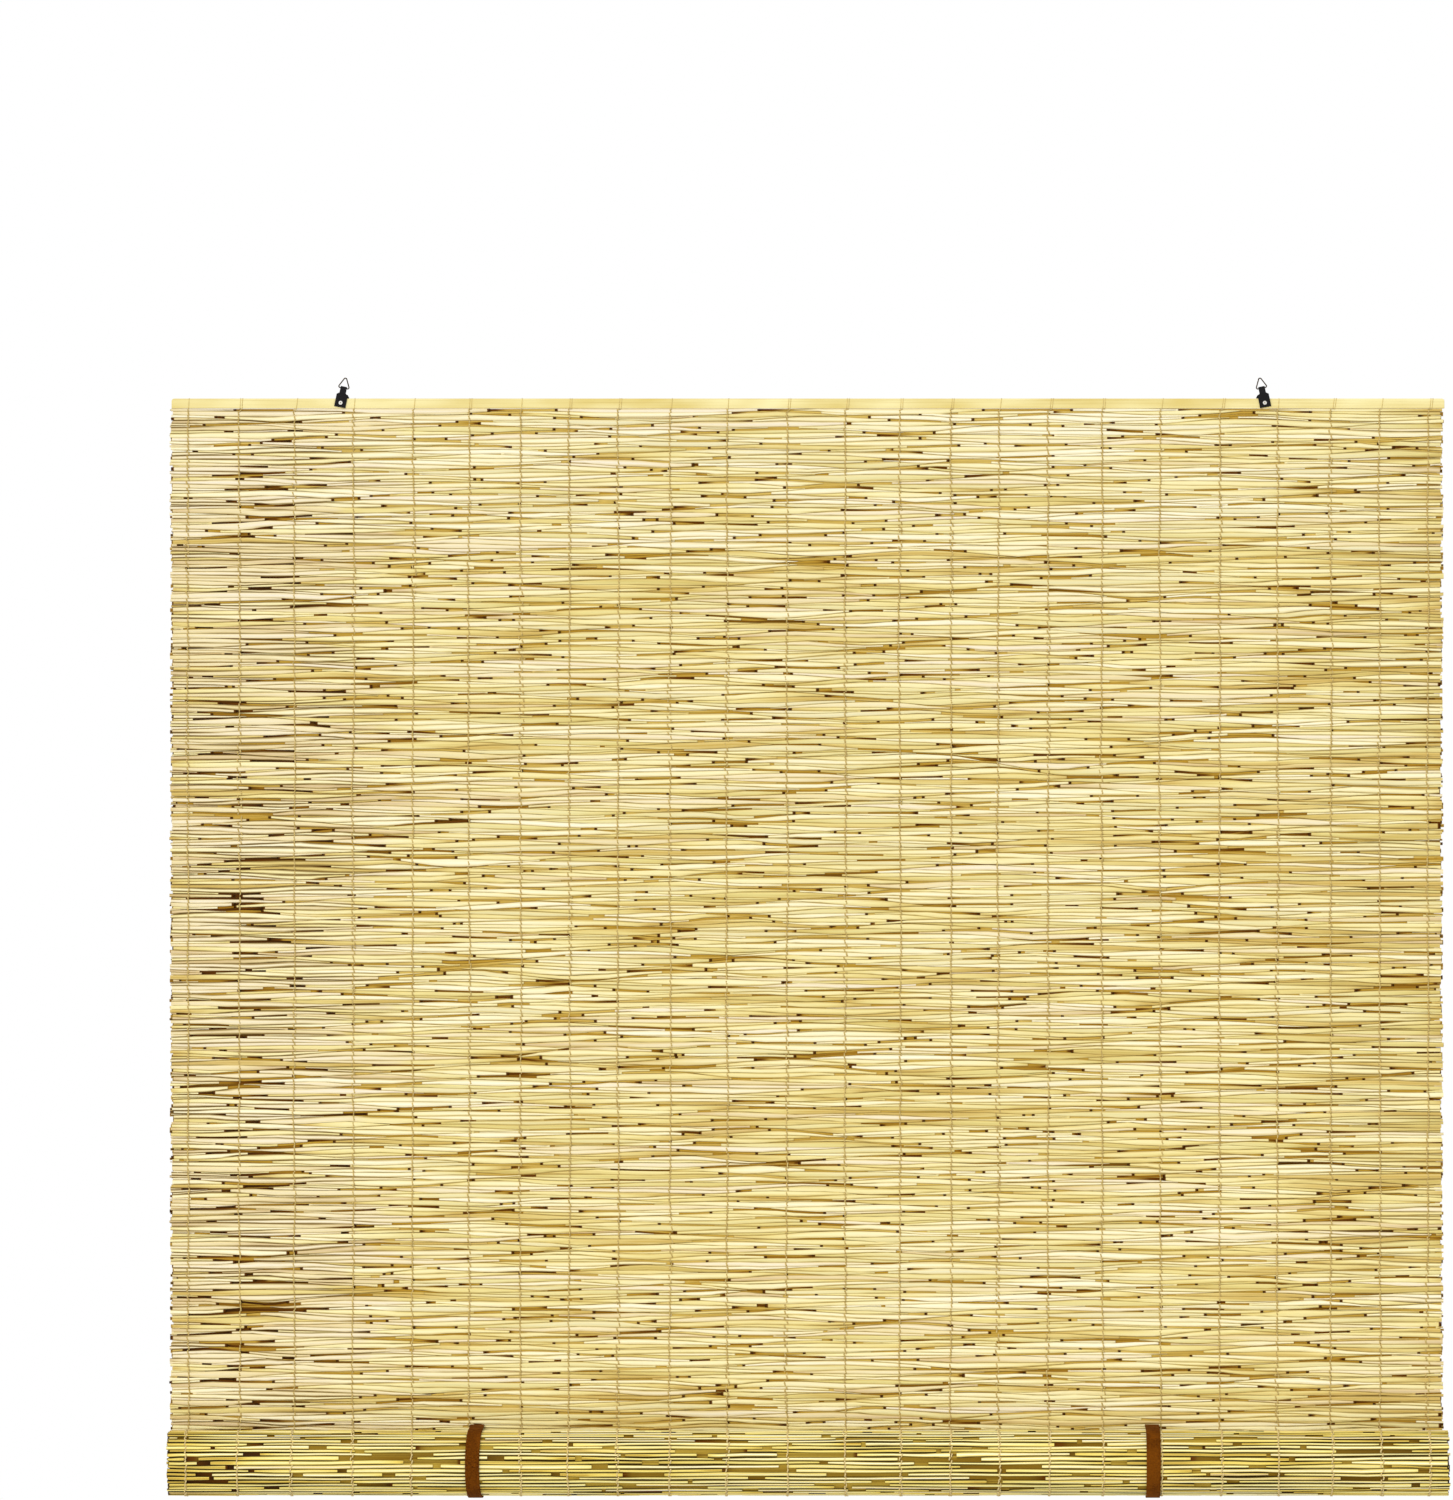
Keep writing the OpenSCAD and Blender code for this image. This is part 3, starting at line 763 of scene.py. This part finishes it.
# Hanger tags: black leather strips folded through the rings and riveted over the slat.
# Their rings are bent from dark steel wire, and the rivets are hollow nickelled ones.
leather = Finish("black_leather", Specular_IOR_Level=0.12)
pebble = leather.noise((1500, 1500, 1500), 3)
skin = pebble.ramp((0.3, colour(6, 5, 6)), (0.75, colour(26, 23, 26)))
leather.feed(Base_Color=skin, Roughness=0.45 + 0.3 * pebble)
leather.bump(pebble, 0.0002)
steel = Finish("dark_steel", Metallic=1.0)
draw_marks = steel.noise((300, 300, 2500))
skin = draw_marks.ramp((0.3, colour(44, 35, 26)), (0.7, colour(82, 68, 50)))
steel.feed(Base_Color=skin, Roughness=0.3 + 0.25 * draw_marks)
nickel = Finish("nickel", Metallic=1.0)
polish = nickel.noise((700, 700, 700))
skin = polish.ramp((0.3, colour(196, 194, 188)), (0.7, colour(226, 224, 218)))
nickel.feed(Base_Color=skin, Roughness=0.2 + 0.2 * polish)
for side in ("left", "right"):
    leather.on(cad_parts[f"{side}_hanger_tag"])
    steel.on(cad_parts[f"{side}_hanger_ring"])
    nickel.on(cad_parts[f"{side}_hanger_rivet"])


# Roll straps: brown suede strips, passed through the mat above the roll and round it.
# Their ends lap behind the mat and close with a nickelled press stud.
# The left strap is pulled askew on the front of the roll.
strap_thickness = 0.0018
strap_lift = 0.0034
strap_bend = 0.002
strap_edge = 0.0005
lap_gap = 0.0012
lap_rise = 0.016
slot_front = -0.005
wrap_degrees = range(264, -1, -6)
strap_askew = {"left": 0.004, "right": 0}
askew_from = 4.608
askew_span = 3.21
askew_at_slot = 0.26


def strap_path(low, high, askew):
    """The middle line of a strap's inner face, from its inner end through the mat and round the roll."""
    x = (low.x + high.x) / 2
    slot_z = high.z - strap_thickness
    outer_y = high.y - strap_thickness
    inner_y = outer_y - 2 * strap_thickness - lap_gap
    path = [(x, inner_y, roll_z + lap_rise)]
    for turn in np.linspace(0, math.pi / 2, 5):
        bend_y = inner_y - strap_bend * (1 - math.cos(turn))
        bend_z = slot_z - strap_bend * (1 - math.sin(turn))
        path.append((x, bend_y, bend_z))
    path.append((x, slot_front, slot_z))
    for angle in np.radians(wrap_degrees):
        radius = roll_radius - turn_pitch * angle / (2 * math.pi) + strap_lift
        pull = max(0, math.sin(math.pi * (askew_from - angle) / askew_span))
        pull += askew_at_slot * angle / askew_from
        wrap_y = roll_y + radius * math.cos(angle)
        wrap_z = roll_z - radius * math.sin(angle)
        path.append((x - askew * pull, wrap_y, wrap_z))
    path.append((x, outer_y, roll_z + lap_rise - strap_thickness))
    path.append((x, outer_y, slot_z - strap_bend - strap_thickness / 2))
    return path


suede = Finish("brown_suede", Specular_IOR_Level=0.05)
nap = suede.noise((1100, 1100, 1100), 3)
wear = suede.noise((60, 60, 25))
skin = nap.ramp((0.3, colour(50, 18, 0)), (0.7, colour(122, 66, 6)))
skin = (0.45 * wear.between(0.45, 0.65)).mix(skin, colour(124, 68, 8))
suede.feed(Base_Color=skin, Roughness=0.85 + 0.1 * nap)
suede.bump(nap, 0.0003)
for side in ("left", "right"):
    low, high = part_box(f"{side}_roll_strap")
    strip = bmesh.new()
    path = strap_path(low, high, strap_askew[side])
    half_strap = (high.x - low.x) / 2
    ends = [strip.verts.new((path[0][0] + reach, *path[0][1:])) for reach in (-half_strap, half_strap)]
    edge = strip.edges.new(ends)
    for here, there in zip(path, path[1:]):
        grown = bmesh.ops.extrude_edge_only(strip, edges=[edge])["geom"]
        edge = next(g for g in grown if isinstance(g, bmesh.types.BMEdge))
        bmesh.ops.translate(strip, verts=list(edge.verts), vec=[b - a for a, b in zip(here, there)])
    bmesh.ops.solidify(strip, geom=list(strip.faces), thickness=-strap_thickness)
    bmesh.ops.recalc_face_normals(strip, faces=strip.faces)
    sharp = [e for e in strip.edges if e.calc_face_angle(0) > math.radians(60)]
    round_edges(strip, sharp, strap_edge, 2)
    strap_mesh = finished_mesh(f"{side}_strap", strip)
    suede.on(add_piece(f"{side}_strap", strap_mesh, f"{side}_roll_strap"))
    nickel.on(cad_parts[f"{side}_stud_cap"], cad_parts[f"{side}_stud_post"])


# Studio: white surroundings, a pale floor well below the roll and one broad soft lamp.
# The surroundings show white to the camera and in metal, and light the blind more dimly.
around_level = 0.66
floor_z = -1.55
floor_half_sides = (2.6, 1.8)
world = bpy.data.worlds.new("studio")
bpy.context.scene.world = world
world.use_nodes = True
around = Socket(world.node_tree)
rays = ("Is Camera Ray", "Is Glossy Ray", "Is Transmission Ray")
shown = [around.make("LightPath", out=ray) for ray in rays]
seen = around.sum("MAXIMUM", around.sum("MAXIMUM", shown[0], shown[1]), shown[2])
backdrop = world.node_tree.nodes["Background"]
backdrop.inputs["Color"].default_value = (1, 1, 1, 1)
around.feed(backdrop.inputs["Strength"], around_level + (1 - around_level) * seen)
lamp = put_in_scene("lamp", bpy.data.lights.new("lamp", "SUN"))
lamp.data.energy = 1.52
lamp.data.angle = math.radians(30)
lamp.rotation_euler = (math.radians(64), 0, math.radians(-18))
plate = bmesh.new()
bmesh.ops.create_grid(
    plate, x_segments=1, y_segments=1, size=1,
    matrix=Matrix.Translation((0, 0, floor_z)) @ Matrix.Diagonal((*floor_half_sides, 1, 1)))
floor = put_in_scene("floor", finished_mesh("floor", plate))
pale = Finish("pale_floor", Roughness=0.9)
skin = pale.noise((3, 3, 3)).ramp((0.3, colour(243, 243, 243)), (0.7, colour(245, 245, 245)))
pale.feed(Base_Color=skin)
pale.on(floor)
bpy.context.scene.view_settings.view_transform = "Standard"

bpy.context.view_layer.update()
